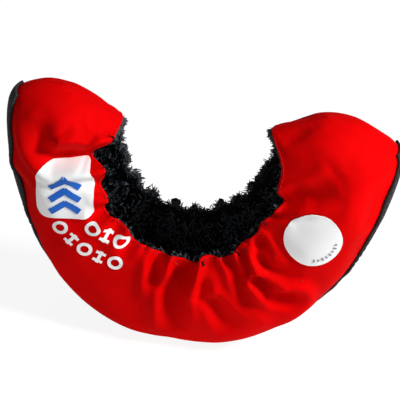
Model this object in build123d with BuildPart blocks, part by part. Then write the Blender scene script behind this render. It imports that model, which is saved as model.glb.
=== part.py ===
"""Soaker: a soft, lined cover for an ice-skate blade, drawn at rest with its mouth pulled in by elastic.

Frame: +X along the blade, +Y away from the side that carries the badges, +Z up towards the skate.
The origin is on the floor, under the middle of the flat foot.
"""

import os
from bisect import bisect_left
from math import copysign, cos, pi, radians, sin, sqrt

from build123d import *

# ---- driving sizes, in millimetres and degrees ----
# Side view of the keel, the outer edge that the webbing covers
keel_half_length = 109.0        # middle to the upright stem at each end
keel_stem_height = 130.0        # floor to where the stem turns over its top corner
corner_reach = 8.0              # how far the top corner turns back over the pocket
corner_rise = 10.5              # how far the corner rises above the stem
left_crown_reach = 20.0         # from the stem back to the crown of the left pocket
left_crown_rise = 14.0
right_crown_reach = 26.0
right_crown_rise = 17.0
foot_half_length = 16.0         # flat stretch that stands on the floor
foot_pull = 38.0                # how far the foot's direction carries into the bend
stem_pull = 80.0                # how far the stem's direction carries down into the bend

# Side view of the rim, the edge of the mouth
rim_half_length = 50.0
rim_half_height = 57.0
rim_centre_x = -4.0
rim_centre_height = 118.0
rim_end_left = 104.0            # from the lowest point of the rim to the mouth's left end
rim_end_right = 114.0

# Cross-section of the body
body_half_width = 33.0          # widest part of the side wall
mouth_half_width = 29.0
bottom_round_height = 30.0      # keel to the widest part
bottom_squareness = 3.5         # 2 is an ellipse, more is boxier
pocket_start = 0.66             # share of the half keel after which the pockets close

# Layers, from outside to inside
webbing_thickness = 1.6
webbing_width = 25.0
webbing_tail = 9.0              # how far the webbing runs on past the top corner
floor_trim = 0.4                # webbing that the floor presses flat
shell_thickness = 1.0
elastic_thickness = 1.0
lining_thickness = 5.0
layer_gap = 0.2

# Edges
elastic_width = 6.0
elastic_below_rim = 2.0
hem_row_below_rim = 1.0

# Thread
thread_radius = 0.3
stitch_length = 3.0
stitch_pitch = 4.2
stitch_inset = 1.8              # stitch row to the webbing's edge
stitch_lift = 0.3               # thread to the cloth that it lies on
hem_row_reach = 0.92            # share of the half rim that the hem's row covers
bartack_length = 9.0
bartack_count = 5
bartack_pitch = 1.2
bartack_inset = 2.5             # first thread to the webbing's end

# Badges and print on the near side
film_thickness = 0.4
print_thickness = 0.2
print_gap = 0.05
square_badge_size = 31.0
square_badge_corner = 6.0
square_badge_tilt = 6.0
square_badge_x, square_badge_z = -71.0, 95.0
chevron_half_width = 9.0
chevron_rise = 7.0
chevron_bar = 4.2
chevron_pitch = 7.5
chevron_count = 3
round_badge_radius = 16.0
round_badge_x, round_badge_z = 69.0, 92.0
tick_ring_radius = 12.5
tick_length = 1.8
tick_width = 0.8
tick_count = 8
tick_first_angle, tick_last_angle = -75.0, -5.0
mark_centre_x, mark_centre_z = -30.0, 110.0
mark_rings = [(56.0, 222.0, 261.0, 5), (42.0, 236.0, 260.5, 3)]  # radius, first and last angle, count
mark_radius = 4.0
mark_stroke = 1.8

# ---- places that follow from the sizes ----
near, far = -1, 1               # which side of the keel: -Y or +Y
webbing_outer_depth = -layer_gap - webbing_thickness
keel_base = -webbing_outer_depth - floor_trim
elastic_depth = shell_thickness + layer_gap
lining_depth = elastic_depth + elastic_thickness + layer_gap
lining_inner_depth = lining_depth + lining_thickness
webbing_half = webbing_width / 2
keel_row_girth = webbing_half - stitch_inset
keel_thread_depth = webbing_outer_depth - stitch_lift - thread_radius
hem_thread_depth = -stitch_lift - thread_radius
thread_floor = 2 * thread_radius
print_depth = -layer_gap - film_thickness - print_gap
cutter_reach = 2 * body_half_width
square_badge_across = (cos(radians(square_badge_tilt)), 0, sin(radians(square_badge_tilt)))
square_badge_plane = Plane((square_badge_x, 0, square_badge_z), square_badge_across, (0, -1, 0))
round_badge_plane = Plane((round_badge_x, 0, round_badge_z), (1, 0, 0), (0, -1, 0))

# ---- how finely the surfaces are laid out ----
body_steps = 10                 # from the middle to where a pocket starts to close
pocket_steps = 18               # round the quarter that closes a pocket
girth_steps = 18                # from the keel to the rim
webbing_steps = 90              # along the whole webbing
film_steps = 40                 # along the films that the badges are cut from
film_reach = 0.85               # share of the half keel that those films cover
width_steps = 8                 # across a narrow strip
wall_samples = 60               # points along each half of a section's wall
station_step = 0.002            # share of the half keel over which its direction is taken
surface_tolerance = 0.01


class HalfKeel:
    """One half of the keel's side view, from the middle of the foot to the crown of a pocket."""

    def __init__(self, crown_reach, crown_rise):
        with BuildLine() as line:
            Line((0, keel_base), (foot_half_length, keel_base))
            bend = Bezier(
                (foot_half_length, keel_base),
                (foot_half_length + foot_pull, keel_base),
                (keel_half_length, keel_stem_height - stem_pull),
                (keel_half_length, keel_stem_height),
            )
            turned = (keel_half_length - corner_reach, keel_stem_height + corner_rise)
            corner = TangentArc([bend @ 1, turned], tangent=bend % 1)
            crown = (keel_half_length - crown_reach, keel_stem_height + crown_rise)
            TangentArc([corner @ 1, crown], tangent=corner % 1)
        self.wire = line.wire()
        self.girth = self.wire.length
        self.corner_end = foot_half_length + bend.length + corner.length
        self.starts_at_foot = self.wire.position_at(0).X < self.wire.position_at(1).X

    def point(self, share):
        """The (x, height) point at a share of the half girth, 0 at the foot's middle."""
        return self.wire.position_at(share if self.starts_at_foot else 1 - share)


left_keel = HalfKeel(left_crown_reach, left_crown_rise)
right_keel = HalfKeel(right_crown_reach, right_crown_rise)
keel_half_girth = (left_keel.girth + right_keel.girth) / 2
rim_half_girth = radians(rim_end_left + rim_end_right) / 2 * (rim_half_length + rim_half_height) / 2
left_corner = -left_keel.corner_end / left_keel.girth
right_corner = right_keel.corner_end / right_keel.girth
left_end = left_corner - webbing_tail / left_keel.girth
right_end = right_corner + webbing_tail / right_keel.girth


def keel_point(u):
    """Keel point at station u, from -1 at the left crown to 1 at the right crown."""
    if u < 0:
        at = left_keel.point(-u)
        return Vector(-at.X, 0, at.Y)
    at = right_keel.point(u)
    return Vector(at.X, 0, at.Y)


def keel_direction(u):
    """The keel's own direction at station u, towards the right."""
    middle = max(station_step - 1, min(u, 1 - station_step))
    return (keel_point(middle + station_step) - keel_point(middle - station_step)).normalized()


def rim_point(u):
    """Rim point that faces the keel point at station u."""
    mean, skew = (rim_end_right + rim_end_left) / 2, (rim_end_right - rim_end_left) / 2
    angle = radians(u * (mean + skew * u))
    x = rim_centre_x + rim_half_length * sin(angle)
    return Vector(x, 0, rim_centre_height - rim_half_height * cos(angle))


def pocket_taper(u):
    """Share of the full width at station u: 1 in the middle, closing in a quarter round."""
    closing = max(0.0, (abs(u) - pocket_start) / (1 - pocket_start))
    return sqrt(1 - closing**2)


class Section:
    """The side wall at one station, on a layer surface that lies depth inside the shell's face."""

    def __init__(self, u, depth):
        placed_u = u * (1 - depth / rim_half_girth)
        self.keel, rim = keel_point(placed_u), rim_point(placed_u)
        self.up = (rim - self.keel).normalized()
        bottom = depth / keel_direction(placed_u).cross(self.up).length
        height = (rim - self.keel).length
        widest = min(bottom_round_height, height / 2)
        bulge = (body_half_width - depth) * pocket_taper(u)
        mouth = (mouth_half_width - depth) * pocket_taper(u)
        power = 2 / bottom_squareness
        self.wall = []
        for i in range(wall_samples + 1):
            angle = pi / 2 * i / wall_samples
            rise = (widest - bottom) * max(0.0, cos(angle)) ** power
            self.wall.append((widest - rise, bulge * sin(angle) ** power))
        for i in range(1, wall_samples + 1):
            share = i / wall_samples
            above = (height - widest) * share
            self.wall.append((widest + above, bulge + (mouth - bulge) * share**2))
        self.girths = [0.0]
        for (low, near), (high, far) in zip(self.wall, self.wall[1:]):
            self.girths.append(self.girths[-1] + sqrt((high - low) ** 2 + (far - near) ** 2))
        self.total = self.girths[-1]

    def at(self, girth):
        """The point a girth away from the keel: up the far wall, or the near wall if it is negative."""
        i = bisect_left(self.girths, abs(girth), 1, len(self.girths) - 1)
        share = (abs(girth) - self.girths[i - 1]) / (self.girths[i] - self.girths[i - 1])
        (low, inner), (high, outer) = self.wall[i - 1], self.wall[i]
        height = low + (high - low) * share
        away = inner + (outer - inner) * share
        return self.keel + self.up * height + Vector(0, copysign(away, girth), 0)


def stations():
    """Stations along the body: even in the middle, even in angle round the closing pockets."""
    body = [pocket_start * i / body_steps for i in range(body_steps)]
    angles = [90 * i / pocket_steps for i in range(pocket_steps + 1)]
    right = body + [pocket_start + (1 - pocket_start) * sin(radians(angle)) for angle in angles]
    return [-u for u in reversed(right[1:])] + right


def even_steps(first, last, count):
    """Evenly spaced values from first to last."""
    return [first + (last - first) * i / count for i in range(count + 1)]


def whole_wall(section, side):
    """Girths over the whole side wall, from the keel to the rim."""
    return even_steps(0, side * section.total, girth_steps)


def keel_strip(section, side):
    """Girths over the webbing, right round the keel."""
    return even_steps(-webbing_half, webbing_half, 2 * width_steps)


def rim_strip(section, side):
    """Girths over the elastic, just below the rim."""
    top = section.total - elastic_below_rim
    return even_steps(side * (top - elastic_width), side * top, width_steps)


def edge_gap(edge, other):
    """How far two edges lie apart, by their middles and ends."""
    straight = (edge @ 0 - other @ 0).length + (edge @ 1 - other @ 1).length
    crossed = (edge @ 0 - other @ 1).length + (edge @ 1 - other @ 0).length
    return (edge @ 0.5 - other @ 0.5).length + min(straight, crossed)


def cloth(outer_depth, inner_depth, girths, side=near, along=None):
    """A layer of cloth: the solid between two nested surfaces of the body."""
    faces = []
    for depth in (outer_depth, inner_depth):
        sections = [Section(u, depth) for u in along or stations()]
        grid = [[section.at(girth) for girth in girths(section, side)] for section in sections]
        faces.append(Face.make_surface_from_array_of_points(grid, tol=surface_tolerance))
    outer, inner = faces
    for edge in outer.edges():
        partner = min(inner.edges(), key=lambda other: edge_gap(edge, other))
        faces.append(Face.make_surface_from_curves(edge, partner))
    return Solid(Shell(faces))


def thread_row(depth, first, last, girth_of):
    """A stitch row's threads: the place of each one, with Z along it, clear of the floor."""
    probes = [Section(u, depth) for u in even_steps(first, last, wall_samples)]
    points = [section.at(girth_of(section)) for section in probes]
    length = sum((b - a).length for a, b in zip(points, points[1:]))
    half_step = (last - first) / length * stitch_length / 2
    places = []
    for u in even_steps(first, last, int(length / stitch_pitch)):
        before, after = Section(u - half_step, depth), Section(u + half_step, depth)
        start, end = before.at(girth_of(before)), after.at(girth_of(after))
        if min(start.Z, end.Z) > thread_floor:
            places.append(Plane(origin=(start + end) / 2, z_dir=end - start).location)
    return places


def keel_threads(side):
    """The row that holds one edge of the webbing."""
    return thread_row(keel_thread_depth, left_corner, right_corner, lambda section: side * keel_row_girth)


def hem_threads(side):
    """The row below the rim that holds the elastic in its hem."""
    ends = (-hem_row_reach, hem_row_reach)
    return thread_row(hem_thread_depth, *ends, lambda section: side * (section.total - hem_row_below_rim))


def bartack_threads(end, inwards):
    """Threads across the webbing, close to its end."""
    places = []
    for i in range(bartack_count):
        u = end + inwards * (bartack_inset + i * bartack_pitch) / keel_half_girth
        along, down = keel_direction(u), -Section(u, 0).up
        outward = (down - along * down.dot(along)).normalized()
        origin = keel_point(u) - outward * keel_thread_depth
        places.append(Plane(origin=origin, x_dir=along, z_dir=(0, 1, 0)).location)
    return places


# ---- the side panels: smooth outer cloth, one on each side ----
with BuildPart() as shell_near:
    add(cloth(0, shell_thickness, whole_wall, near), clean=False)
with BuildPart() as shell_far:
    add(cloth(0, shell_thickness, whole_wall, far), clean=False)

# ---- the plush lining, which follows the side panels on the inside ----
with BuildPart() as lining_near:
    add(cloth(lining_depth, lining_inner_depth, whole_wall, near), clean=False)
with BuildPart() as lining_far:
    add(cloth(lining_depth, lining_inner_depth, whole_wall, far), clean=False)

# ---- the elastic band, between panel and lining, all round the mouth ----
with BuildPart() as elastic_band:
    add(cloth(elastic_depth, elastic_depth + elastic_thickness, rim_strip, near), clean=False)
    add(cloth(elastic_depth, elastic_depth + elastic_thickness, rim_strip, far), clean=False)

# ---- the webbing, folded round the keel and over both top corners ----
with BuildPart() as keel_webbing:
    along_webbing = even_steps(left_end, right_end, webbing_steps)
    add(cloth(webbing_outer_depth, -layer_gap, keel_strip, along=along_webbing), clean=False)
    split(bisect_by=Plane.XY, keep=Keep.TOP)

# ---- the stitching: both edges of the webbing, both hems, and a bartack at each end of the webbing ----
with BuildPart() as keel_stitching_near:
    with Locations(*keel_threads(near)):
        Cylinder(thread_radius, stitch_length)
with BuildPart() as keel_stitching_far:
    with Locations(*keel_threads(far)):
        Cylinder(thread_radius, stitch_length)
with BuildPart() as hem_stitching_near:
    with Locations(*hem_threads(near)):
        Cylinder(thread_radius, stitch_length)
with BuildPart() as hem_stitching_far:
    with Locations(*hem_threads(far)):
        Cylinder(thread_radius, stitch_length)
with BuildPart() as bartack_left:
    with Locations(*bartack_threads(left_end, 1)):
        Cylinder(thread_radius, bartack_length)
with BuildPart() as bartack_right:
    with Locations(*bartack_threads(right_end, -1)):
        Cylinder(thread_radius, bartack_length)

# ---- the badges and the print, thin films that follow the near panel ----
along_film = even_steps(-film_reach, film_reach, film_steps)
film = cloth(-layer_gap - film_thickness, -layer_gap, whole_wall, along=along_film)
badge_print = cloth(print_depth - print_thickness, print_depth, whole_wall, along=along_film)
panel_print = cloth(-print_gap - print_thickness, -print_gap, whole_wall, along=along_film)

with BuildPart() as square_badge:
    add(film)
    with BuildSketch(square_badge_plane):
        RectangleRounded(square_badge_size, square_badge_size, square_badge_corner)
    extrude(amount=cutter_reach, mode=Mode.INTERSECT)

with BuildPart() as square_badge_chevrons:
    add(badge_print)
    with BuildSketch(square_badge_plane):
        with GridLocations(0, chevron_pitch, 1, chevron_count):
            Polygon(
                (-chevron_half_width, 0),
                (0, chevron_rise),
                (chevron_half_width, 0),
                (chevron_half_width, chevron_bar),
                (0, chevron_rise + chevron_bar),
                (-chevron_half_width, chevron_bar),
            )
    extrude(amount=cutter_reach, mode=Mode.INTERSECT)

with BuildPart() as round_badge:
    add(film)
    with BuildSketch(round_badge_plane):
        Circle(round_badge_radius)
    extrude(amount=cutter_reach, mode=Mode.INTERSECT)

with BuildPart() as round_badge_ticks:
    add(badge_print)
    with BuildSketch(round_badge_plane):
        tick_sweep = tick_last_angle - tick_first_angle
        with PolarLocations(tick_ring_radius, tick_count, tick_first_angle, tick_sweep, endpoint=True):
            Rectangle(tick_length, tick_width)
    extrude(amount=cutter_reach, mode=Mode.INTERSECT)

with BuildPart() as print_marks:
    add(panel_print)
    with BuildSketch(Plane.XZ):
        for radius, first, last, count in mark_rings:
            with Locations((mark_centre_x, mark_centre_z)):
                marks = PolarLocations(radius, count, first, last - first, endpoint=True).locations
            for i, place in enumerate(marks):
                with Locations(place):
                    if i % 2:
                        Rectangle(2 * mark_radius, mark_stroke)
                        Rectangle(mark_stroke, 2 * mark_radius)
                    else:
                        Circle(mark_radius)
                        Circle(mark_radius - mark_stroke, mode=Mode.SUBTRACT)
    extrude(amount=cutter_reach, mode=Mode.INTERSECT)

pieces = {
    "shell_near": shell_near,
    "shell_far": shell_far,
    "lining_near": lining_near,
    "lining_far": lining_far,
    "elastic_band": elastic_band,
    "keel_webbing": keel_webbing,
    "keel_stitching_near": keel_stitching_near,
    "keel_stitching_far": keel_stitching_far,
    "hem_stitching_near": hem_stitching_near,
    "hem_stitching_far": hem_stitching_far,
    "bartack_left": bartack_left,
    "bartack_right": bartack_right,
    "square_badge": square_badge,
    "square_badge_chevrons": square_badge_chevrons,
    "round_badge": round_badge,
    "round_badge_ticks": round_badge_ticks,
    "print_marks": print_marks,
}
os.makedirs("parts", exist_ok=True)
for name, piece in pieces.items():
    piece.part.label = name
    export_step(piece.part, f"parts/{name}.step")
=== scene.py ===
# %% [markdown]
# # A soaker for an ice-skate blade
# A soaker is a soft cover that a skater pulls over a blade to dry it and to protect it. Two panels of smooth red
# cloth meet at a webbing keel, a plush lining fills the inside, and elastic in the hem draws the mouth in, so that
# the cloth above the keel falls into folds. Each end closes into a rounded pocket for the toe or heel of the blade.
# The script loads the measured frame first, then makes each piece over it, from the outside inwards.

import math

import bmesh
import bpy
import numpy as np
from mathutils import Matrix, Vector
from mathutils.bvhtree import BVHTree


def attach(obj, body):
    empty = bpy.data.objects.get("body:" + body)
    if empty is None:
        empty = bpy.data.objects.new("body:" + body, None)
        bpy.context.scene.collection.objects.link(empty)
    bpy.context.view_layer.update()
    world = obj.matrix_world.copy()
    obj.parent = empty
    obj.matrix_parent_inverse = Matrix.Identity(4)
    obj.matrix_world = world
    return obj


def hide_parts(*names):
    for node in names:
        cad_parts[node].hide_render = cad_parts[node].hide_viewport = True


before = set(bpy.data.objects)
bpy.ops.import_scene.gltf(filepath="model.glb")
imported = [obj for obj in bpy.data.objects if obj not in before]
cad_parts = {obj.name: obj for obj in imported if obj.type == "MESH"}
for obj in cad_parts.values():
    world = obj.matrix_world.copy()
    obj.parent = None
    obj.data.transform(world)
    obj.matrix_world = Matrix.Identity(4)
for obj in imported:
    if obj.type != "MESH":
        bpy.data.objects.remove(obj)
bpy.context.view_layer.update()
mm = 0.001
draw = np.random.default_rng(11)

# %% Making objects
def add_object(name, data):
    """A new object that holds the data, linked to the scene."""
    piece = bpy.data.objects.new(name, data)
    bpy.context.scene.collection.objects.link(piece)
    return piece


def mesh_from(name, bm):
    """A mesh made from bmesh geometry, which is then freed."""
    mesh = bpy.data.meshes.new(name)
    bm.to_mesh(mesh)
    bm.free()
    return mesh


def absorb(bm, part):
    """Adds a part's geometry to bm, and frees the part."""
    mesh = mesh_from("part", part)
    bm.from_mesh(mesh)
    bpy.data.meshes.remove(mesh)


# %% [markdown]
# The camera comes first, because every later choice is judged through it. It looks down on the cover by thirty
# degrees from the side with the badges, through a long lens, and it is turned a little about its own axis, so the
# cover seems to lean. A floor that curves up behind would be one way to get a pale ground. A plain flat floor under
# a pale sky is simpler, and shows how the cover stands on the blunt foot of its keel.

# %% Camera
looks_at = Vector((2.7, 0, 86.2)) * mm
camera_distance = 0.85
camera_drop = math.radians(30)
camera_roll = math.radians(9.35)
view_width = 0.228

camera = add_object("camera", bpy.data.cameras.new("camera"))
camera.data.sensor_width = 36
camera.data.lens = camera.data.sensor_width * camera_distance / view_width
away = Vector((0, -math.cos(camera_drop), math.sin(camera_drop)))
camera.location = looks_at + away * camera_distance
lean = Matrix.Rotation(camera_roll, 3, "Z").to_quaternion()
camera.rotation_euler = ((-away).to_track_quat("-Z", "Y") @ lean).to_euler()
bpy.context.scene.camera = camera

# %% [markdown]
# Two square lamps and a pale, even sky light the cover. The key is small enough to draw the folds, and stands high
# on the right and in front, so folds that face the lower left fall dark. A large weak fill keeps them readable.

# %% Light and floor
def soft_lamp(name, place, size, power):
    """A square lamp that faces the middle of the cover."""
    lamp = add_object(name, bpy.data.lights.new(name, "AREA"))
    lamp.data.size = size
    lamp.data.energy = power
    lamp.location = place
    lamp.rotation_euler = (looks_at - Vector(place)).to_track_quat("-Z", "Y").to_euler()


soft_lamp("key_lamp", place=(0.95, -0.34, 1.0), size=0.3, power=22)
soft_lamp("fill_lamp", place=(-0.4, -1.2, 0.7), size=0.9, power=1.2)

world = bpy.data.worlds.new("pale_sky")
world.use_nodes = True
world.node_tree.nodes["Background"].inputs["Color"].default_value = (1, 1, 1, 1)
world.node_tree.nodes["Background"].inputs["Strength"].default_value = 0.14
bpy.context.scene.world = world
bpy.context.scene.view_settings.view_transform = "Standard"

bm = bmesh.new()
bmesh.ops.create_grid(bm, x_segments=1, y_segments=1, size=3)
floor = add_object("floor", mesh_from("floor", bm))

# %% [markdown]
# Two outlines in the side view shape everything: the keel, from one crown over the corner, down round the foot and
# up to the other crown, and the rim of the mouth. A NURBS curve through a few listed points keeps the keel
# fair. Every station, from -1 at the left crown to 1 at the right, joins one keel point to one rim point.

# %% Outlines of the keel and the rim
keel_left = [(0, 1.9), (-14, 1.9), (-30, 4), (-52, 15), (-75, 36), (-94, 64), (-105, 93), (-110, 122),
             (-109, 137), (-100, 142.5), (-90, 145), (-80, 145)]
keel_right = [(0, 1.9), (14, 1.9), (32, 4.5), (54, 16), (77, 38), (95, 66), (105, 95), (109, 124),
              (108.5, 138.5), (99, 143.5), (88, 149), (76, 151.5), (64, 151.5)]


def arc_line(name, points):
    """A fair line through the points' control polygon: shares of its length, and its (x, z) places."""
    curve = bpy.data.curves.new(name, "CURVE")
    curve.dimensions = "3D"
    curve.resolution_u = 16
    spline = curve.splines.new("NURBS")
    spline.points.add(len(points) - 1)
    for control, (x, z) in zip(spline.points, points):
        control.co = (x, 0, z, 1)
    spline.order_u = 3
    spline.use_endpoint_u = True
    holder = bpy.data.objects.new(name, curve)
    mesh = bpy.data.meshes.new_from_object(holder)
    line = np.array([vertex.co[:] for vertex in mesh.vertices])[:, (0, 2)]
    bpy.data.meshes.remove(mesh)
    bpy.data.objects.remove(holder)
    bpy.data.curves.remove(curve)
    steps = np.hypot(*np.diff(line, axis=0).T)
    reached = np.concatenate([[0], np.cumsum(steps)])
    return reached / reached[-1], line, reached[-1]


left_shares, left_line, left_girth = arc_line("keel_left", keel_left)
right_shares, right_line, right_girth = arc_line("keel_right", keel_right)
print("keel", round(left_girth), "mm left,", round(right_girth), "mm right")

rim_middle = (-4.5, 118)
rim_radii = (49.5, 57)
rim_ends = {-1: 104, 1: 113}
hook_start, hook_in, hook_down = 0.8, 5.5, 2.5


def keel_at(u):
    """The keel's (x, z) at station u, in millimetres."""
    shares, line = (left_shares, left_line) if u < 0 else (right_shares, right_line)
    return np.array([np.interp(abs(u), shares, line[:, 0]), np.interp(abs(u), shares, line[:, 1])])


def rim_at(u):
    """The rim's (x, z) at station u, in millimetres."""
    mean, skew = (rim_ends[1] + rim_ends[-1]) / 2, (rim_ends[1] - rim_ends[-1]) / 2
    angle = math.radians(u * (mean + skew * u))
    hook = max(0.0, (abs(u) - hook_start) / (1 - hook_start)) ** 2
    along = rim_middle[0] + rim_radii[0] * math.sin(angle) - math.copysign(hook_in, u) * hook
    return np.array([along, rim_middle[1] - rim_radii[1] * math.cos(angle) - hook_down * hook])


# %% [markdown]
# Across each station the wall starts flat under the webbing, turns up round a boxy bottom, swells, and draws in
# again at the elastic. Its width closes in a quarter round towards each end, which makes the pockets.

# %% The wall's cross-section
swell = 33.0
mouth_half = 28.0
pocket_start = 0.62
swell_height = 30.0
boxiness = 2.9
boxiness_fall, fall_start, fall_length = 1.0, 0.3, 0.3
draw_in = 2.2
pocket_turn = 0.52
wall_samples = 90


def pocket_taper(u):
    """Share of the full width at station u."""
    closing = max(0.0, (abs(u) - pocket_start) / (1 - pocket_start))
    return math.sqrt(max(0.0, 1 - closing**2))


def wall_at(u, girth_shares):
    """Heights above the keel and distances from the middle plane, in millimetres, at shares of the wall's girth."""
    height = np.linalg.norm(rim_at(u) - keel_at(u))
    widest = min(swell_height, 0.5 * height)
    taper = pocket_taper(u)
    angle = np.linspace(0, math.pi / 2, wall_samples)
    power = 2 / (boxiness - boxiness_fall * min(1.0, max(0.0, (abs(u) - fall_start) / fall_length)))
    lower = widest * (1 - np.cos(angle).clip(0) ** power)
    lower_away = swell * taper * np.sin(angle) ** power
    above = np.linspace(0, 1, wall_samples)[1:]
    upper = widest + (height - widest) * above
    upper_away = taper * (swell + (mouth_half - swell) * above**draw_in)
    heights = np.concatenate([lower, upper])
    aways = np.concatenate([lower_away, upper_away])
    reached = np.concatenate([[0], np.cumsum(np.hypot(np.diff(heights), np.diff(aways)))])
    at = np.asarray(girth_shares) * reached[-1]
    return np.interp(at, reached, heights), np.interp(at, reached, aways), reached[-1]


def station_of(share):
    """Station u for an even share of the grid from -1 to 1: even in the middle, finer where a pocket closes."""
    if abs(share) <= pocket_turn:
        return share / pocket_turn * pocket_start
    angle = (abs(share) - pocket_turn) / (1 - pocket_turn) * math.pi / 2
    return math.copysign(pocket_start + (1 - pocket_start) * math.sin(angle), share)


print("wall girth in the middle", round(wall_at(0, [1])[2]), "mm")

# %% [markdown]
# The elastic holds about half as much again of cloth as its own length, and the spare cloth stands up in folds.
# The big ones lie where a hand would find them on the real cover: a deep crease under the left pocket, a valley that
# runs all the way down to the foot, and a knot of short creases left of the right pocket. Each crease is a line in
# the side view. The cloth sinks along it, stands up a little on both sides, and is drawn down where it meets the
# rim, which scallops the mouth. Placing them one by one gives control. The cloth solver then rounds them.

# %% Creases of both panels
# Each row: the line's (x, z) places in millimetres, its half width, its depth, and how far it draws the rim down.
near_creases = [
    ([(-54, 117), (-60, 116), (-69, 116), (-80, 114), (-88, 119), (-92, 133)], 4.6, 16.0, 3.0),
    ([(-62, 124), (-66, 125), (-71, 127)], 3.0, 3.0, 0.0),
    ([(-49, 101), (-55, 102), (-62, 103)], 2.6, 2.6, 1.5),
    ([(-45, 88), (-51, 85), (-58, 83)], 3.4, 5.0, 3.5),
    ([(-38, 83), (-43, 75), (-46, 67)], 3.4, 4.5, 3.0),
    ([(-27, 75), (-33, 67), (-37, 56)], 3.4, 4.5, 2.5),
    ([(-12, 68), (-16, 57), (-14, 46), (-7, 33)], 4.0, 6.5, 2.5),
    ([(-6, 66), (-8, 58), (-5, 53)], 2.4, 4.0, 2.0),
    ([(2, 64), (-1, 53), (-3, 42), (-1, 27), (2, 15)], 5.0, 14.0, 4.5),
    ([(23, 69), (28, 64), (34, 54), (41, 42)], 3.2, 4.5, 3.0),
    ([(31, 74), (34, 67), (38, 61), (43, 58)], 2.8, 4.5, 2.5),
    ([(40, 84), (43, 77), (47, 70)], 3.2, 5.0, 3.0),
    ([(42, 72), (48, 67), (56, 66), (66, 69)], 4.0, 4.0, 0.0),
    ([(42, 59), (49, 55), (56, 50), (66, 50)], 4.2, 7.5, 0.0),
    ([(62, 50), (55, 43), (47, 35)], 7.0, 4.5, 0.0),
    ([(45, 108), (51, 111), (57, 115), (63, 117), (75, 124)], 4.0, 7.0, 3.5),
    ([(43, 100), (49, 104), (56, 105)], 2.8, 3.5, 2.0),
    ([(20, 40), (28, 30), (34, 22)], 5.0, 4.0, 0.0),
    ([(12, 48), (10, 26)], 5.0, 3.0, 0.0),
    ([(-96, 88), (-84, 62), (-64, 40)], 9.0, 2.5, 0.0),
]
far_creases = [
    ([(-54, 120), (-64, 117), (-76, 116), (-86, 119)], 5.0, 8.0, 0.6),
    ([(-52, 102), (-58, 99), (-66, 96)], 3.0, 4.5, 0.6),
    ([(-43, 86), (-50, 80), (-60, 72)], 4.0, 5.5, 0.8),
    ([(-31, 76), (-37, 66), (-45, 52)], 4.0, 5.5, 0.8),
    ([(-18, 68), (-22, 56), (-26, 38)], 4.5, 6.5, 0.8),
    ([(-5, 65), (-7, 56), (-8, 47)], 3.0, 4.0, 0.5),
    ([(9, 66), (12, 54), (13, 38), (9, 20)], 5.5, 8.0, 1.0),
    ([(22, 71), (28, 62), (34, 50)], 3.5, 4.5, 0.6),
    ([(33, 80), (41, 71), (52, 62)], 4.0, 6.0, 0.8),
    ([(42, 93), (50, 87), (60, 82)], 3.0, 4.5, 0.6),
    ([(46, 110), (56, 112), (68, 118), (78, 127)], 4.5, 6.5, 0.8),
]


def crease_field(x, z, line):
    """For every place in a table: its distance from a crease line, and how far along the line that is, 0 to 1."""
    points = np.array(line, dtype=float)
    steps = np.diff(points, axis=0)
    lengths = np.hypot(*steps.T)
    starts = np.concatenate([[0], np.cumsum(lengths)])
    distance, along = np.full(x.shape, np.inf), np.zeros(x.shape)
    for (px, pz), (dx, dz), length, start in zip(points, steps, lengths, starts):
        share = np.clip(((x - px) * dx + (z - pz) * dz) / length**2, 0, 1)
        gap = np.hypot(x - px - share * dx, z - pz - share * dz)
        nearer = gap < distance
        distance = np.where(nearer, gap, distance)
        along = np.where(nearer, (start + share * length) / starts[-1], along)
    return distance, along


def crease_lift(distance, along, half_width, depth):
    """How far a crease moves the cloth, in millimetres: in along the line, a little out on both sides."""
    half_width = 0.82 * half_width * (1 + 0.7 * along)
    fade = 1 - along**1.6
    groove = np.exp(-(distance / half_width) ** 2)
    ridge = 0.4 * np.exp(-((distance / half_width - 1.75) ** 2) / 0.55)
    return depth * fade * (ridge - groove)


# %% [markdown]
# Each panel starts as a flat grid, and every corner of the grid is moved to its place on the wall. The folds are
# added along the panel's own normals. The places are kept in a table, so lining, webbing, elastic, stitches and
# badges can all be laid on the finished cloth.

# %% The table of places, and a finished wall
across_count, up_count = 300, 76
grid_shares = np.linspace(-1, 1, across_count + 1)
grid_stations = np.array([station_of(2 * i / across_count - 1) for i in range(across_count + 1)])
grid_tapers = np.array([pocket_taper(u) for u in grid_stations])
grid_ups = np.linspace(0, 1, up_count + 1)
least_gap = 2.0 * mm


def relax(table):
    """Moves every inner place of a table towards the middle of its four neighbours."""
    table[1:-1, 1:-1] = (table[1:-1, 1:-1] * 2 + table[:-2, 1:-1] + table[2:, 1:-1]
                         + table[1:-1, :-2] + table[1:-1, 2:]) / 6


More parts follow.
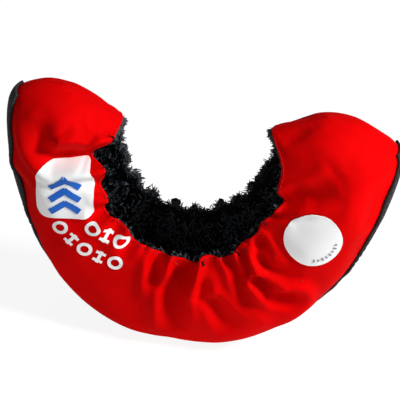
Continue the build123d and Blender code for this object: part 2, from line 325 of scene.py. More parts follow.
class Panel:
    """A finished wall: places in metres at even grid shares, with normals that point outwards."""

    def __init__(self, places, side):
        self.places, self.side = places, side
        along, up = np.gradient(places, axis=0), np.gradient(places, axis=1)
        normals = np.cross(up, along) * side
        normals /= np.linalg.norm(normals, axis=2, keepdims=True).clip(1e-9)
        edge = normals[1:-1].copy()
        normals[0], normals[-1] = edge[0], edge[-1]
        self.normals = normals
        self.tree = self.cloth_tree()

    def cloth_tree(self):
        """A search tree of the wall's faces, turned outwards, that finds the nearest cloth to a place."""
        columns, rows = self.places.shape[:2]
        corner = np.arange(columns * rows).reshape(columns, rows)
        loop = [corner[:-1, :-1], corner[1:, :-1], corner[1:, 1:], corner[:-1, 1:]]
        faces = np.stack(loop if self.side < 0 else loop[::-1], axis=-1).reshape(-1, 4)
        return BVHTree.FromPolygons(self.places.reshape(-1, 3).tolist(), faces.tolist())

    def at(self, share, up, lift=0.0):
        """The place at an along share (-1 to 1) and an up share (0 to 1), lifted off the cloth."""
        i = np.clip((share + 1) / 2 * across_count, 0, across_count - 1e-6)
        j = np.clip(up * up_count, 0, up_count - 1e-6)
        i0, j0 = int(i), int(j)
        a, b = i - i0, j - j0
        weights = ((1 - a) * (1 - b), a * (1 - b), (1 - a) * b, a * b)
        corners = ((i0, j0), (i0 + 1, j0), (i0, j0 + 1), (i0 + 1, j0 + 1))
        place = sum(w * self.places[c] for w, c in zip(weights, corners))
        normal = sum(w * self.normals[c] for w, c in zip(weights, corners))
        return place + normal / max(np.linalg.norm(normal), 1e-9) * lift

    def offset(self, inwards):
        """The table of places that far inside: relaxed across the folds, then pushed back where it met the cloth."""
        moved = self.places - self.normals * inwards
        for share in (1.0, 0.6, 0.35):
            for _ in range(int(inwards / mm * 3)):
                relax(moved)
            clear = min(inwards, max(inwards * share, least_gap))
            for column in moved:
                for place in column[2:]:
                    found, normal, _, _ = self.tree.find_nearest(Vector(place))
                    if (Vector(place) - found).dot(normal) > -clear:
                        place[:] = found - normal * clear
        return moved


# %% Folding the walls
deepest_lift = 15
drop_reach, lobe_at, lobe_reach = 4.5, 10, 5.0


def smooth_wall(side):
    """The wall with no folds yet."""
    places = np.zeros((across_count + 1, up_count + 1, 3))
    for i, u in enumerate(grid_stations):
        keel, rim = keel_at(u), rim_at(u)
        heights, aways, _ = wall_at(u, grid_ups)
        direction = (rim - keel) / np.linalg.norm(rim - keel)
        places[i, :, 0] = keel[0] + direction[0] * heights
        places[i, :, 1] = side * aways
        places[i, :, 2] = keel[1] + direction[1] * heights
    return places * mm


def fold_wall(places, side, creases):
    """Pushes the creases into a smooth wall, and scallops its rim."""
    normals = Panel(places, side).normals
    x, z = places[:, :, 0] / mm, places[:, :, 2] / mm
    lifts, drops = np.zeros(x.shape), np.zeros(x.shape[0])
    for line, half_width, depth, drop in creases:
        lifts += crease_lift(*crease_field(x, z, line), half_width, depth)
        from_start = np.hypot(x[:, -1] - line[0][0], z[:, -1] - line[0][1])
        lobes = 0.45 * np.exp(-((from_start - lobe_at) / lobe_reach) ** 2)
        drops += drop * (np.exp(-(from_start / drop_reach) ** 2) - lobes)
    lifts = deepest_lift * np.tanh(lifts / deepest_lift)
    keel_hold = np.clip((grid_ups - 0.09) / 0.14, 0, 1)
    end_hold = grid_tapers**0.5
    lifts *= keel_hold[None, :] * end_hold[:, None]
    if side > 0:
        lifts *= 1 - 0.75 * np.clip((grid_ups - 0.6) / 0.35, 0, 1)[None, :]
    upward = places[:, -1] - places[:, -6]
    upward /= np.linalg.norm(upward, axis=1, keepdims=True)
    near_rim = np.clip((grid_ups - 0.55) / 0.45, 0, 1) ** 1.6
    fall = (drops * end_hold)[:, None] * near_rim[None, :]
    return places + (normals * lifts[:, :, None] - upward[:, None, :] * fall[:, :, None]) * mm


# %% Turning tables into meshes
def grid_object(name, places, along_size, across_size, turned=False):
    """A bmesh grid with each corner moved to its place, and a UV map of the given sizes in metres."""
    bm = bmesh.new()
    uv = bm.loops.layers.uv.new("Panel")
    bmesh.ops.create_grid(bm, x_segments=places.shape[0] - 1, y_segments=places.shape[1] - 1, size=1)
    for vertex in bm.verts:
        along, across = (vertex.co.x + 1) / 2, (vertex.co.y + 1) / 2
        for loop in vertex.link_loops:
            loop[uv].uv = (along * along_size, across * across_size)
        vertex.co = places[round(along * (places.shape[0] - 1)), round(across * (places.shape[1] - 1))]
    if turned:
        bmesh.ops.reverse_faces(bm, faces=bm.faces)
    mesh = mesh_from(name, bm)
    mesh.shade_smooth()
    return add_object(name, mesh)


def cloth_object(name, places, side):
    """A grid object mapped by the cloth's own lengths, facing outwards on its side."""
    middle_along = np.linalg.norm(np.diff(places[:, places.shape[1] // 2], axis=0), axis=1).sum()
    middle_up = np.linalg.norm(np.diff(places[places.shape[0] // 2], axis=0), axis=1).sum()
    return grid_object(name, places, middle_along, middle_up, turned=side > 0)


def thicken(piece, thickness, offset):
    """Gives a sheet its thickness, in millimetres; offset -1 grows it inwards, 1 outwards."""
    wall = piece.modifiers.new("thickness", "SOLIDIFY")
    wall.thickness = thickness * mm
    wall.offset = offset
    return piece


# %% [markdown]
# The folds so far are smooth formulas. A short cloth run makes them uneven: the wall is a little too long for its
# frame and a slight pressure fills it. The run is kept weak and its moves are capped, because a stronger one made the
# cloth lumpy and pushed it out over the webbing.

# %% Cloth run
settle_frames = 16


def settle(places, side, pressure, slack, most):
    """Lets the cloth solver round a wall: keel, hem and ends are held, the cloth between them is a little too long."""
    coarse = places[::2, ::2]
    sheet = cloth_object("settling", coarse, side)
    held = sheet.vertex_groups.new(name="held")
    cells = []
    for vertex in sheet.data.vertices:
        gap = np.linalg.norm(coarse - np.array(vertex.co), axis=2)
        cells.append(np.unravel_index(gap.argmin(), gap.shape))
        i, j = cells[-1]
        up, end = j / (coarse.shape[1] - 1), min(i, coarse.shape[0] - 1 - i)
        if up < 0.2 or up > 0.95 or end < 4:
            held.add([vertex.index], 1.0, "REPLACE")
    solver = sheet.modifiers.new("solver", "CLOTH")
    solver.settings.quality = 5
    solver.settings.mass = 0.2
    solver.settings.vertex_group_mass = "held"
    solver.settings.tension_stiffness = solver.settings.compression_stiffness = 12
    solver.settings.bending_stiffness = 0.15
    solver.settings.shrink_min = -slack
    solver.settings.use_pressure = True
    solver.settings.uniform_pressure_force = pressure
    solver.settings.effector_weights.gravity = 0
    solver.collision_settings.use_collision = False
    solver.point_cache.frame_end = settle_frames
    for step in range(1, settle_frames + 1):
        bpy.context.scene.frame_set(step)
    settled = sheet.evaluated_get(bpy.context.evaluated_depsgraph_get()).to_mesh()
    moved = np.zeros(coarse.shape)
    for cell, vertex, after in zip(cells, sheet.data.vertices, settled.vertices):
        moved[cell] = np.array(after.co - vertex.co)
    bpy.context.scene.frame_set(1)
    mesh = sheet.data
    bpy.data.objects.remove(sheet)
    bpy.data.meshes.remove(mesh)
    for _ in range(3):
        relax(moved)
    reach = np.linalg.norm(moved, axis=2, keepdims=True)
    moved *= most * np.tanh(reach / most) / reach.clip(1e-9)
    fine = np.repeat(np.repeat(moved, 2, axis=0), 2, axis=1)[:places.shape[0], :places.shape[1]]
    fine[1::2] = (fine[:-1:2] + fine[2::2]) / 2
    fine[:, 1::2] = (fine[:, :-1:2] + fine[:, 2::2]) / 2
    mean, largest = float(reach.mean()) / mm, float(reach.max()) / mm
    print("settled before the cap, mean move", round(mean, 2), "mm, largest", round(largest, 2), "mm")
    return places + fine


# %% Both panels
panel_thickness = 1.0
panels = {}
for name, side, creases in (("near", -1, near_creases), ("far", 1, far_creases)):
    folded = fold_wall(smooth_wall(side), side, creases)
    folded = settle(folded, side, pressure=0.5, slack=0.025, most=2.4 * mm)
    panels[name] = Panel(folded, side)
shell_near = cloth_object("panel_near", panels["near"].places, -1)
shell_far = cloth_object("panel_far", panels["far"].places, 1)
thicken(shell_near, panel_thickness, -1)
thicken(shell_far, panel_thickness, -1)

# %% [markdown]
# The webbing is a flat woven tape, folded lengthwise over the keel so that it grips both panels. It could be swept
# along the keel as a curve with a bevel, but then it wouldn't follow the panels' own curvature. Here a grid is laid
# on the cloth: its middle line runs on the keel, and its two halves lie on the two panels.

# %% Laying things on the cloth
wall_girths = np.array([wall_at(u, [1])[2] for u in grid_stations])
keel_blend = 1.5


def share_of(u):
    """The even grid share at station u."""
    return float(np.interp(u, grid_stations, grid_shares))


def on_keel(u, across, lift):
    """A place on the cloth at station u, across millimetres from the keel: near side negative, far side positive."""
    share = share_of(u)
    up = abs(across) / float(np.interp(share, grid_shares, wall_girths))
    blend = min(1.0, abs(across) / keel_blend)
    near = panels["near"].at(share, up, lift)
    far = panels["far"].at(share, up, lift)
    here, other = (near, far) if across < 0 else (far, near)
    return here * (0.5 + 0.5 * blend) + other * (0.5 - 0.5 * blend)


# %% Webbing
webbing_width = 25.0
webbing_thickness = 1.6
webbing_ends = (-0.875, 0.815)
webbing_gap = 0.25
ripple_height = 0.18
webbing_along, webbing_across = 420, 16
webbing_map_length = 440


def tip_share(u):
    """The tape is folded narrower where it rounds the top corners: its width there as a share of the full one."""
    end = webbing_ends[0] if u < 0 else webbing_ends[1]
    wide = 1 + 0.3 * np.clip((abs(u) - 0.3) / 0.2, 0, 1)
    return wide - 0.6 * np.clip((abs(u) - abs(end) + 0.1) / 0.1, 0, 1) ** 1.5


webbing_places = np.zeros((webbing_along + 1, webbing_across + 1, 3))
for i in range(webbing_along + 1):
    u = webbing_ends[0] + (webbing_ends[1] - webbing_ends[0]) * i / webbing_along
    ripple = ripple_height * math.sin(i * 0.41) * math.sin(i * 0.077 + 1)
    for j in range(webbing_across + 1):
        across = (j / webbing_across - 0.5) * webbing_width * tip_share(u)
        edge_wave = ripple * (abs(across) / webbing_width * 2) ** 2
        webbing_places[i, j] = on_keel(u, across, (webbing_thickness + webbing_gap + edge_wave) * mm)
webbing_places[:, :, 2] = webbing_places[:, :, 2].clip(0)
webbing = grid_object("webbing", webbing_places, webbing_map_length * mm, webbing_width * mm)
thicken(webbing, webbing_thickness, 1)

# %% [markdown]
# The plush lining is a knitted ground with a shaggy pile. The ground is each panel's own surface moved inwards and
# relaxed, so it bridges the folds as the real lining does. On the far side it stands several millimetres above the
# hem between the pockets, higher than the measured lining does, and the pile stands above that. On the near side
# the rim's tufts are rooted just below the hem.

# %% Lining ground
lining_gap = 2.2
lining_thickness = 3.0
lining_rise = {-1: 0.2, 1: 7.0}
lining_lean = 0.5
lining_trim = 8


def lining_table(panel):
    """The lining's outer places: the panel moved inwards, and carried on past the rim."""
    moved = panel.offset(lining_gap * mm)
    up = moved[:, -1] - moved[:, -3]
    up /= np.linalg.norm(up, axis=1, keepdims=True)
    rise = (lining_rise[panel.side] * grid_tapers)[:, None] * mm
    extra = [moved[:, -1] + up * rise * step - panel.normals[:, -1] * lining_lean * mm * step for step in (0.5, 1.0)]
    return np.concatenate([moved, np.stack(extra, axis=1)], axis=1)[lining_trim:-lining_trim]


linings = {}
for name, side in (("near", -1), ("far", 1)):
    linings[name] = cloth_object(f"lining_{name}_ground", lining_table(panels[name]), side)
    thicken(linings[name], lining_thickness, -1)

# %% [markdown]
# A pile of thousands of tufts could be a particle system, but its hairs wouldn't be real geometry in the finished
# model. Here a few tufts are modelled as bent cones, and copies of them are turned, scaled and planted all over
# the ground. At the rim they lean outwards and up, which gives the ragged edge.

# %% Pile
tuft_length, tuft_radius = 6, 0.72
root_depth = 0.6


def tuft_mesh(bend, twist):
    """One tuft, standing along +Z, bent over by the given amount."""
    bm = bmesh.new()
    bmesh.ops.create_cone(bm, cap_ends=False, segments=3, radius1=tuft_radius, radius2=tuft_radius, depth=tuft_length)
    upright = [edge for edge in bm.edges if abs(edge.verts[0].co.z - edge.verts[1].co.z) > 1]
    bmesh.ops.subdivide_edges(bm, edges=upright, cuts=2)
    for vertex in bm.verts:
        height = (vertex.co.z + tuft_length / 2) / tuft_length
        thin = 0.75 + 0.5 * height - 1.15 * height**3
        vertex.co.x *= thin
        vertex.co.y *= thin
        vertex.co = Matrix.Rotation(twist * height, 3, "Z") @ vertex.co
        vertex.co.x += bend * height**2
        vertex.co.z = tuft_length * height - abs(bend) * 0.35 * height**2
    bmesh.ops.transform(bm, matrix=Matrix.Scale(mm, 4), verts=bm.verts)
    return mesh_from("tuft", bm)


tufts = [tuft_mesh(bend, twist) for bend, twist in ((1.0, 0.5), (2.4, -0.8), (3.2, 1.0), (4.2, -0.4), (1.8, 2.0))]
tuft_places = [np.array([v.co[:] for v in mesh.vertices]) for mesh in tufts]
tuft_faces = [np.array([p.vertices[:] for p in mesh.polygons]) for mesh in tufts]


def plant(name, planted):
    """A piece made of many tufts: each (root, direction, size) gets a copy that stands there."""
    places, faces, start = [], [], 0
    for root, direction, size in planted:
        kind = int(draw.integers(len(tufts)))
        turn = Matrix.Rotation(float(draw.uniform(0, 2 * math.pi)), 3, "Z")
        stand = np.array(Vector(direction).to_track_quat("Z", "Y").to_matrix() @ turn)
        places.append(tuft_places[kind] @ stand.T * size + root)
        faces.append(tuft_faces[kind] + start)
        start += len(tuft_places[kind])
    mesh = bpy.data.meshes.new(name)
    mesh.from_pydata(np.concatenate(places).tolist(), [], np.concatenate(faces).tolist())
    mesh.shade_smooth()
    return add_object(name, mesh)


def stays_inside(panel, root, direction, size):
    """Whether a tuft keeps clear of the panel from its root to its tip."""
    reach = direction / np.linalg.norm(direction) * tuft_length * size * mm
    for share, margin in ((0.0, 0.9), (0.5, 0.7), (1.0, 0.5)):
        place = Vector(root + reach * share)
        found, normal, _, _ = panel.tree.find_nearest(place)
        if (place - found).dot(normal) > -margin * mm:
            return False
    return True


def pile(name, panel, count, rim_count, lowest, highest):
    """Tufts all over one lining half, and a row along its rim, between two heights over the hem in millimetres."""
    ground = Panel(panel.offset((lining_gap + lining_thickness - root_depth) * mm), panel.side)
    planted = []
    for _ in range(count):
        share, up = float(draw.uniform(-0.9, 0.9)), float(draw.uniform(0.02, 0.99))
        i, j = int((share + 1) / 2 * across_count), int(up * up_count)
        lean = draw.normal(0, 0.45, 3)
        upward = np.array([0, 0, 0.35 + 0.5 * max(0, up - 0.85) / 0.15])
        root, size = ground.at(share, up), float(draw.uniform(0.55, 1.0))
        direction = -ground.normals[i, j] + lean + upward
        if stays_inside(panel, root, direction, size):
            planted.append((root, direction, size))
    for _ in range(rim_count):
        share = float(draw.uniform(-1, 1))
        i = int((share + 1) / 2 * across_count)
        base = panel.at(share, 1.0, -float(draw.uniform(0.8, 4.5)) * mm)
        upward = panel.places[i, -1] - panel.places[i, -4]
        upward /= np.linalg.norm(upward)
        outward = panel.normals[i, -1] * draw.uniform(-1.1, 0.25)
        rise = draw.uniform(lowest, highest) * pocket_taper(station_of(share))
        root, size = base + upward * rise * mm, float(draw.uniform(0.4, 0.75))
        direction = upward + outward + draw.normal(0, 0.45, 3)
        if stays_inside(panel, root, direction, size):
            planted.append((root, direction, size))
    return plant(name, planted)


piles = {"near": pile("lining_near_pile", panels["near"], 8200, 1500, -3.6, -1.6),
         "far": pile("lining_far_pile", panels["far"], 6800, 4200, -0.5, 7.0)}
print("pile faces", {name: len(piece.data.polygons) for name, piece in piles.items()})

# %% [markdown]
# The elastic is a ribbed band that lies in the hem, between panel and lining. Nothing of it shows when the cover is
# whole, but it is a piece of the real object, so it is made, as a strip that follows both panels near the rim.

# %% Elastic band
elastic_rows = np.linspace(0.895, 0.965, 7)
elastic_inset, elastic_thickness = 1.5, 0.3
elastic_map_length, elastic_map_width = 520, 6


def elastic_table(panel):
    """The band's places on one panel, from its lower edge to its upper edge."""
    moved = panel.offset(elastic_inset * mm)
    rows = elastic_rows * up_count
    lower = np.floor(rows).astype(int)
    part = (rows - lower)[None, :, None]
    return moved[:, lower] * (1 - part) + moved[:, lower + 1] * part


elastic_loop = np.concatenate([elastic_table(panels["near"]), elastic_table(panels["far"])[::-1][1:-1]])
elastic = grid_object("elastic", np.concatenate([elastic_loop, elastic_loop[:1]]),
                      elastic_map_length * mm, elastic_map_width * mm)
bm = bmesh.new()
bm.from_mesh(elastic.data)
bmesh.ops.remove_doubles(bm, verts=bm.verts, dist=0.00001)
bmesh.ops.recalc_face_normals(bm, faces=bm.faces)
bm.to_mesh(elastic.data)
bm.free()
elastic.data.shade_smooth()
thicken(elastic, elastic_thickness, 0)

# %% [markdown]
# Thread is modelled stitch by stitch. One stitch is a short rounded bar made from a sphere, and copies of it are
# laid along the cloth, each turned to follow its row. The rows run along both edges of the webbing and just below
# the rim. A bartack, a few threads side by side, locks each end of the webbing.

# %% Stitches
def stitch_mesh(length, radius):
    """One stitch along Z: a small sphere drawn out to a length and radius in millimetres."""
    bm = bmesh.new()
    bmesh.ops.create_uvsphere(bm, u_segments=6, v_segments=4, radius=1)
    bmesh.ops.scale(bm, vec=(radius * mm, radius * mm, length / 2 * mm), verts=bm.verts)
    return mesh_from("stitch", bm)


def sew(name, rows, stitch):
    """A piece of many stitches: each (start, end) pair in rows gets a copy, turned to lie along it."""
    bm = bmesh.new()
    for start, end in rows:
        start, end = Vector(start), Vector(end)
        turn = (end - start).to_track_quat("Z", "Y").to_matrix().to_4x4()
        turn.translation = (start + end) / 2
        stitch.transform(turn)
        bm.from_mesh(stitch)
        stitch.transform(turn.inverted())
    mesh = mesh_from(name, bm)
    mesh.shade_smooth()
    return add_object(name, mesh)


stitch_length, stitch_pitch = 3.0, 4.2
thread_radius, hem_thread_radius = 0.32, 0.25
long_stitch = stitch_mesh(stitch_length + 0.5, thread_radius)
hem_stitch = stitch_mesh(2.6, hem_thread_radius)
bar_length, bar_pitch, bar_count = 7.0, 1.2, 5
bar_stitch = stitch_mesh(bar_length, thread_radius)
keel_length = left_girth + right_girth
row_across = webbing_width / 2 - 1.8
thread_lift = (webbing_thickness + 0.3) * mm
threads = {}
for name, side in (("near", -1), ("far", 1)):
    pairs = []
    for u in np.arange(-0.86, 0.8, 2 * stitch_pitch / keel_length):
        ends = [on_keel(u + step * stitch_length / keel_length, side * row_across * tip_share(u), thread_lift)
                for step in (-1, 1)]
        if min(end[2] for end in ends) > 0.9 * mm:
            pairs.append(ends)
    threads[f"keel_{name}"] = sew(f"webbing_stitches_{name}", pairs, long_stitch)
    pairs = []
    for share in np.arange(-0.93, 0.93, 0.0205):
        pairs.append([panels[name].at(share + step * 0.007, 0.982, 0.12 * mm) for step in (-1, 1)])
    threads[f"hem_{name}"] = sew(f"hem_stitches_{name}", pairs, hem_stitch)
for name, end, inwards in (("left", webbing_ends[0], 1), ("right", webbing_ends[1], -1)):
    pairs = []
    for bar in range(bar_count):
        u = end + inwards * (2.5 + bar_pitch * bar) * 2 / keel_length
        pairs.append([on_keel(u, across, thread_lift + 0.05 * mm) for across in (-bar_length / 2, bar_length / 2)])
    threads[f"bartack_{name}"] = sew(f"bartack_threads_{name}", pairs, bar_stitch)

# %% [markdown]
# Badges and print are thin films that follow every fold under them. Each is modelled flat, in the side view, and
# then dropped straight onto the near panel: a ray from each corner finds the cloth, and the corner stops just above
# it. Shrinkwrap could do the same, but rays give exact control over the gap.

# %% Films on the near panel
bm = bmesh.new()
bm.from_mesh(shell_near.data)
near_tree = BVHTree.FromBMesh(bm)
bm.free()


def drop_on_cloth(bm, lift):
    """Moves flat geometry in X and Z onto the near panel, lifted off it by some millimetres."""
    for vertex in bm.verts:
        hit, normal, _, _ = near_tree.ray_cast(Vector((vertex.co.x, -0.2, vertex.co.z)), Vector((0, 1, 0)))
        if normal.y > 0:
            normal = -normal
        vertex.co = hit + normal * lift * mm


def film(name, bm, lift, thickness):
    """Turns flat geometry into a film on the near panel."""
    drop_on_cloth(bm, lift)
    bmesh.ops.recalc_face_normals(bm, faces=bm.faces)
    if sum(face.normal.y for face in bm.faces) > 0:
        bmesh.ops.reverse_faces(bm, faces=bm.faces)
    for face in bm.faces:
        face.smooth = True
    for edge in bm.edges:
        edge.smooth = not edge.is_boundary
    return thicken(add_object(name, mesh_from(name, bm)), thickness, 1)


# %% Flat shapes
def rounded_square_reach(angle, half, corner):
    """Distance from the middle of a rounded square to its edge, in one direction."""
    x, z = abs(math.cos(angle)), abs(math.sin(angle))
    straight = half / max(x, z)
    core = half - corner
    px, pz = straight * x, straight * z
    if px <= core or pz <= core:
        return straight
    along = core * (x + z)
    return along + math.sqrt(max(0.0, along**2 - 2 * core**2 + corner**2))


def add_disc(bm, centre, reach, tilt=0.0, inner=0.0, rings=16, segments=80):
    """Spins a spoke into a flat disc or ring, and draws its edge out to reach(angle)."""
    part = bmesh.new()
    shares = np.linspace(inner, 1, rings + 1)
    spoke = [part.verts.new((share, 0, 0)) for share in shares]
    edges = [part.edges.new(pair) for pair in zip(spoke, spoke[1:])]
    bmesh.ops.spin(part, geom=spoke + edges, cent=(0, 0, 0), axis=(0, 1, 0), angle=2 * math.pi, steps=segments,
                   use_merge=True)
    bmesh.ops.remove_doubles(part, verts=part.verts, dist=0.0001)
    for vertex in part.verts:
        share = math.hypot(vertex.co.x, vertex.co.z)
        angle = math.atan2(vertex.co.z, vertex.co.x)
        out = share * reach(angle) * mm
        vertex.co = Vector((centre[0] * mm + out * math.cos(angle + tilt), 0,
                            centre[1] * mm + out * math.sin(angle + tilt)))
    absorb(bm, part)


def add_bar(bm, centre, length, width, turn):
    """A flat bar in X and Z, cut finely enough to bend over a fold."""
    part = bmesh.new()
    bmesh.ops.create_grid(part, x_segments=max(2, round(length)), y_segments=2, size=0.5)
    for vertex in part.verts:
        x, z = vertex.co.x * length, vertex.co.y * width
        vertex.co = Vector((centre[0] + x * math.cos(turn) - z * math.sin(turn), 0,
                            centre[1] + x * math.sin(turn) + z * math.cos(turn))) * mm
    absorb(bm, part)


# %% Badges and print
# Each film's lift off the cloth, then its thickness: the marks on a badge stand on top of it.
badge_layer, chevron_layer, tick_layer, print_layer = (0.45, 0.4), (1.1, 0.15), (1.05, 0.12), (0.3, 0.15)

square_centre, square_half, square_corner, square_tilt = (-71.0, 95.0), 15.5, 6.0, math.radians(6)
bm = bmesh.new()
add_disc(bm, square_centre, lambda angle: rounded_square_reach(angle, square_half, square_corner), square_tilt)
square_badge = film("white_square_badge", bm, *badge_layer)

round_centre, round_radius = (67.5, 92.0), 16.0
bm = bmesh.new()
add_disc(bm, round_centre, lambda angle: round_radius)
round_badge = film("white_round_badge", bm, *badge_layer)

arm_length, arm_width, arm_rise = 10.6, 3.7, 0.62
arm_spread, chevron_pitch, chevron_drop = 7.5, 7.6, 0.4
bm = bmesh.new()
for step in (-1, 0, 1):
    for hand in (-1, 1):
        local = Vector((hand * arm_spread, 0)) / 2 + Vector((0, step * chevron_pitch - chevron_drop))
        turned = Matrix.Rotation(square_tilt, 2) @ local
        place = (square_centre[0] + turned.x, square_centre[1] + turned.y)
        add_bar(bm, place, arm_length, arm_width, -hand * arm_rise + square_tilt)
chevrons = film("blue_chevrons", bm, *chevron_layer)

tick_ring, tick_width, tick_lengths = 12.6, 0.75, (1.9, 1.2, 2.1, 1.5)
bm = bmesh.new()
for step in range(8):
    angle = math.radians(-78 + 11 * step)
    place = (round_centre[0] + tick_ring * math.cos(angle), round_centre[1] + tick_ring * math.sin(angle))
    add_bar(bm, place, tick_lengths[step % 4], tick_width, angle)
ticks = film("grey_ticks", bm, *tick_layer)

# The print runs on two arcs: the radius, the first and last angle, and how many marks. Rings and barred crosses
# take turns.
print_centre = (-30, 110)
ring_radius, ring_hole = 4.4, 0.56
stem_length, stem_width, bar_at, cross_length, cross_width = 8.0, 1.9, 2.6, 6.0, 1.7
bm = bmesh.new()
for ring, first, last, count in ((56.0, 222, 261, 5), (42.0, 236, 260.5, 3)):
    for mark in range(count):
        angle = math.radians(first + (last - first) * mark / (count - 1))
        place = (print_centre[0] + ring * math.cos(angle), print_centre[1] + ring * math.sin(angle))
        if mark % 2:
            add_bar(bm, place, stem_length, stem_width, angle)
            for end in (-1, 1):
                cross = (place[0] + end * bar_at * math.cos(angle), place[1] + end * bar_at * math.sin(angle))
                add_bar(bm, cross, cross_length, cross_width, angle + math.pi / 2)
        else:
            add_disc(bm, place, lambda turn: ring_radius, inner=ring_hole, rings=2, segments=36)
marks = film("white_marks", bm, *print_layer)

# %% [markdown]
# Cloth, webbing and plush all vary a little in tone and all have some thread structure. Two node groups make those
# effects once: a soft mottle that gives a mask, and a plain weave that gives a height. Each material places them
# with its own scale. The groups give only masks and heights, so the shader stays in the material.

# %% Shared effects
def effect(name, inputs, outputs):
    """An empty node group with float or vector sockets: its tree, input node and output node."""
    tree = bpy.data.node_groups.new(name, "ShaderNodeTree")
    for socket, kind in inputs:
        tree.interface.new_socket(socket, in_out="INPUT", socket_type=kind)
    for socket, kind in outputs:
        tree.interface.new_socket(socket, in_out="OUTPUT", socket_type=kind)
    return tree, tree.nodes.new("NodeGroupInput"), tree.nodes.new("NodeGroupOutput")


def math_node(tree, operation, first, second):
    """A Math node with two inputs, each a socket or a number."""
    node = tree.nodes.new("ShaderNodeMath")
    node.operation = operation
    for slot, value in enumerate((first, second)):
        if isinstance(value, (int, float)):
            node.inputs[slot].default_value = value
        else:
            tree.links.new(value, node.inputs[slot])
    return node.outputs[0]


number, vector = "NodeSocketFloat", "NodeSocketVector"
soft_mottle, mottle_in, mottle_out = effect("soft_mottle", [("Place", vector), ("Scale", number)], [("Mask", number)])
noise = soft_mottle.nodes.new("ShaderNodeTexNoise")
noise.inputs["Detail"].default_value = 3
soft_mottle.links.new(mottle_in.outputs["Place"], noise.inputs["Vector"])
soft_mottle.links.new(mottle_in.outputs["Scale"], noise.inputs["Scale"])
spread = soft_mottle.nodes.new("ShaderNodeMapRange")
spread.inputs["From Min"].default_value = 0.3
spread.inputs["From Max"].default_value = 0.7
soft_mottle.links.new(noise.outputs["Fac"], spread.inputs["Value"])
soft_mottle.links.new(spread.outputs["Result"], mottle_out.inputs["Mask"])

weave, weave_in, weave_out = effect(
    "plain_weave", [("Place", vector), ("Threads Along", number), ("Threads Across", number)], [("Height", number)])
split = weave.nodes.new("ShaderNodeSeparateXYZ")
weave.links.new(weave_in.outputs["Place"], split.inputs[0])
along = math_node(weave, "MULTIPLY", split.outputs[0], weave_in.outputs["Threads Along"])
across = math_node(weave, "MULTIPLY", split.outputs[1], weave_in.outputs["Threads Across"])
warp = math_node(weave, "SINE", math_node(weave, "MULTIPLY", along, 2 * math.pi), 0)
weft = math_node(weave, "SINE", math_node(weave, "MULTIPLY", across, 2 * math.pi), 0)
over = math_node(weave, "MULTIPLY", warp, weft)
ribs = math_node(weave, "MULTIPLY", math_node(weave, "ADD", math_node(weave, "ABSOLUTE", warp, 0),
                                              math_node(weave, "ABSOLUTE", weft, 0)), 0.35)
weave.links.new(math_node(weave, "ADD", math_node(weave, "MULTIPLY", over, 0.3), ribs), weave_out.inputs["Height"])

# %% [markdown]
# One function builds every finish from the same plan: a colour that drifts between two tones with the mottle, a
# roughness that drifts with it, and a bump from the weave. What makes each finish its own is its numbers: tight
# fine threads for the panel, coarse ribs for the tape, almost none for the print.

# %% Finishes
def finish(name, dark, light, rough, mottle_scale, threads, bump, space="UV", specular=0.3, sheen=0.0, tint=(1, 1, 1)):
    """A material: two tones, roughness from rough[0] to rough[1], threads per metre (along, across), bump height."""
    material = bpy.data.materials.new(name)
    material.use_nodes = True
    tree = material.node_tree
    shader = tree.nodes["Principled BSDF"]
    place = tree.nodes.new("ShaderNodeTexCoord")
    mottle = tree.nodes.new("ShaderNodeGroup")
    mottle.node_tree = soft_mottle
    mottle.inputs["Scale"].default_value = mottle_scale
    tree.links.new(place.outputs["Object"], mottle.inputs["Place"])
    tones = tree.nodes.new("ShaderNodeMix")
    tones.data_type = "RGBA"
    tones.inputs["A"].default_value = (*dark, 1)
    tones.inputs["B"].default_value = (*light, 1)
    tree.links.new(mottle.outputs["Mask"], tones.inputs["Factor"])
    tree.links.new(tones.outputs["Result"], shader.inputs["Base Color"])
    gloss = tree.nodes.new("ShaderNodeMapRange")
    gloss.inputs["To Min"].default_value, gloss.inputs["To Max"].default_value = rough
    tree.links.new(mottle.outputs["Mask"], gloss.inputs["Value"])
    tree.links.new(gloss.outputs["Result"], shader.inputs["Roughness"])
    cloth = tree.nodes.new("ShaderNodeGroup")
    cloth.node_tree = weave
    cloth.inputs["Threads Along"].default_value, cloth.inputs["Threads Across"].default_value = threads
    tree.links.new(place.outputs[space], cloth.inputs["Place"])
    relief = tree.nodes.new("ShaderNodeBump")
    relief.inputs["Strength"].default_value = 0.8
    relief.inputs["Distance"].default_value = bump
    tree.links.new(cloth.outputs["Height"], relief.inputs["Height"])
    tree.links.new(relief.outputs["Normal"], shader.inputs["Normal"])
    shader.inputs["Specular IOR Level"].default_value = specular
    shader.inputs["Sheen Weight"].default_value = sheen
    shader.inputs["Sheen Tint"].default_value = (*tint, 1)
    return material


red = finish("red_cloth", (0.59, 0.0, 0.0), (0.8, 0.0, 0.001), (0.7, 0.8), 28, (900, 900), 0.00008,
             specular=0.03)
tape = finish("black_webbing", (0.009, 0.009, 0.011), (0.02, 0.02, 0.023), (0.6, 0.78), 60, (420, 520), 0.0004,
              specular=0.4)
ground = finish("black_plush_ground", (0.004, 0.005, 0.006), (0.008, 0.009, 0.011), (0.9, 1.0), 120, (400, 400), 0.0003,
                specular=0.1)
plush = finish("black_plush", (0.036, 0.042, 0.05), (0.08, 0.09, 0.104), (0.75, 0.95), 90, (1500, 1500), 0.00005,
               space="Object", specular=0.25, sheen=0.35, tint=(0.5, 0.6, 0.7))
stretch = finish("black_elastic", (0.01, 0.01, 0.011), (0.02, 0.02, 0.022), (0.6, 0.75), 80, (300, 1100), 0.0003)
dark_thread = finish("black_thread", (0.012, 0.012, 0.014), (0.03, 0.03, 0.034), (0.5, 0.7), 200, (900, 900), 0.0001,
                     space="Object")
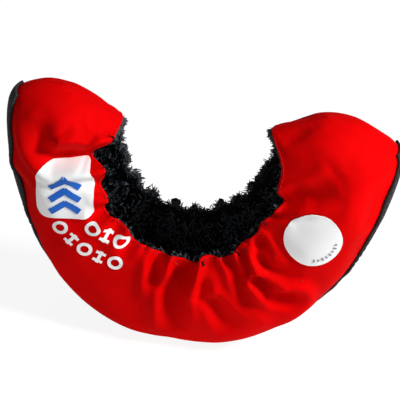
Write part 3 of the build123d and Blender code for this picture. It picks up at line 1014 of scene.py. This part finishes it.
red_thread = finish("red_thread", (0.5, 0.0, 0.002), (0.66, 0.002, 0.004), (0.5, 0.7), 200, (900, 900), 0.0001,
                    space="Object", specular=0.2)
white = finish("white_print", (0.93, 0.94, 0.94), (0.98, 0.99, 0.99), (0.4, 0.55), 40, (900, 900), 0.00003,
               space="Object", specular=0.3)
blue = finish("blue_print", (0.004, 0.1, 0.5), (0.006, 0.14, 0.62), (0.4, 0.55), 60, (900, 900), 0.00003,
              space="Object", specular=0.3)
grey = finish("grey_print", (0.16, 0.17, 0.2), (0.3, 0.31, 0.34), (0.5, 0.6), 60, (900, 900), 0.00003, space="Object")

# %% [markdown]
# The ground under the cover should read as clean white paper. The camera sees the floor partly as its own light,
# which thins the shadow, while the cover itself gets only the floor's plain reflected light.

# %% Floor finish
paper = bpy.data.materials.new("pale_paper")
paper.use_nodes = True
tree = paper.node_tree
paper_shader = tree.nodes["Principled BSDF"]
paper_shader.inputs["Base Color"].default_value = (0.85, 0.85, 0.85, 1)
paper_shader.inputs["Roughness"].default_value = 0.9
glow = tree.nodes.new("ShaderNodeEmission")
glow.inputs["Strength"].default_value = 1.15
seen = tree.nodes.new("ShaderNodeLightPath")
blend = tree.nodes.new("ShaderNodeMixShader")
tree.links.new(math_node(tree, "MULTIPLY", seen.outputs["Is Camera Ray"], 0.78), blend.inputs[0])
tree.links.new(paper_shader.outputs[0], blend.inputs[1])
tree.links.new(glow.outputs[0], blend.inputs[2])
tree.links.new(blend.outputs[0], tree.nodes["Material Output"].inputs["Surface"])
floor.data.materials.append(paper)

# %% [markdown]
# Last, each piece is told which body it rides on and gets its finish, and the measured part it replaces is hidden.
# The cover has no joints, so there is one body.

# %% Riding, finishes and hidden parts
for piece, material, slot, nodes in (
    (shell_near, red, "red_cloth", ["shell_near"]),
    (shell_far, red, "red_cloth", ["shell_far"]),
    (webbing, tape, "black_webbing", ["keel_webbing"]),
    (linings["near"], ground, "black_plush", ["lining_near"]),
    (linings["far"], ground, "black_plush", ["lining_far"]),
    (piles["near"], plush, "black_plush", []),
    (piles["far"], plush, "black_plush", []),
    (elastic, stretch, "black_elastic", ["elastic_band"]),
    (threads["keel_near"], dark_thread, "black_thread", ["keel_stitching_near"]),
    (threads["keel_far"], dark_thread, "black_thread", ["keel_stitching_far"]),
    (threads["hem_near"], red_thread, "red_thread", ["hem_stitching_near"]),
    (threads["hem_far"], red_thread, "red_thread", ["hem_stitching_far"]),
    (threads["bartack_left"], dark_thread, "black_thread", ["bartack_left"]),
    (threads["bartack_right"], dark_thread, "black_thread", ["bartack_right"]),
    (square_badge, white, "white_print", ["square_badge"]),
    (round_badge, white, "white_print", ["round_badge"]),
    (chevrons, blue, "blue_print", ["square_badge_chevrons"]),
    (ticks, grey, "grey_print", ["round_badge_ticks"]),
    (marks, white, "white_print", ["print_marks"]),
):
    piece.data.materials.append(material)
    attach(piece, "root")
    if nodes:
        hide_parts(*nodes)
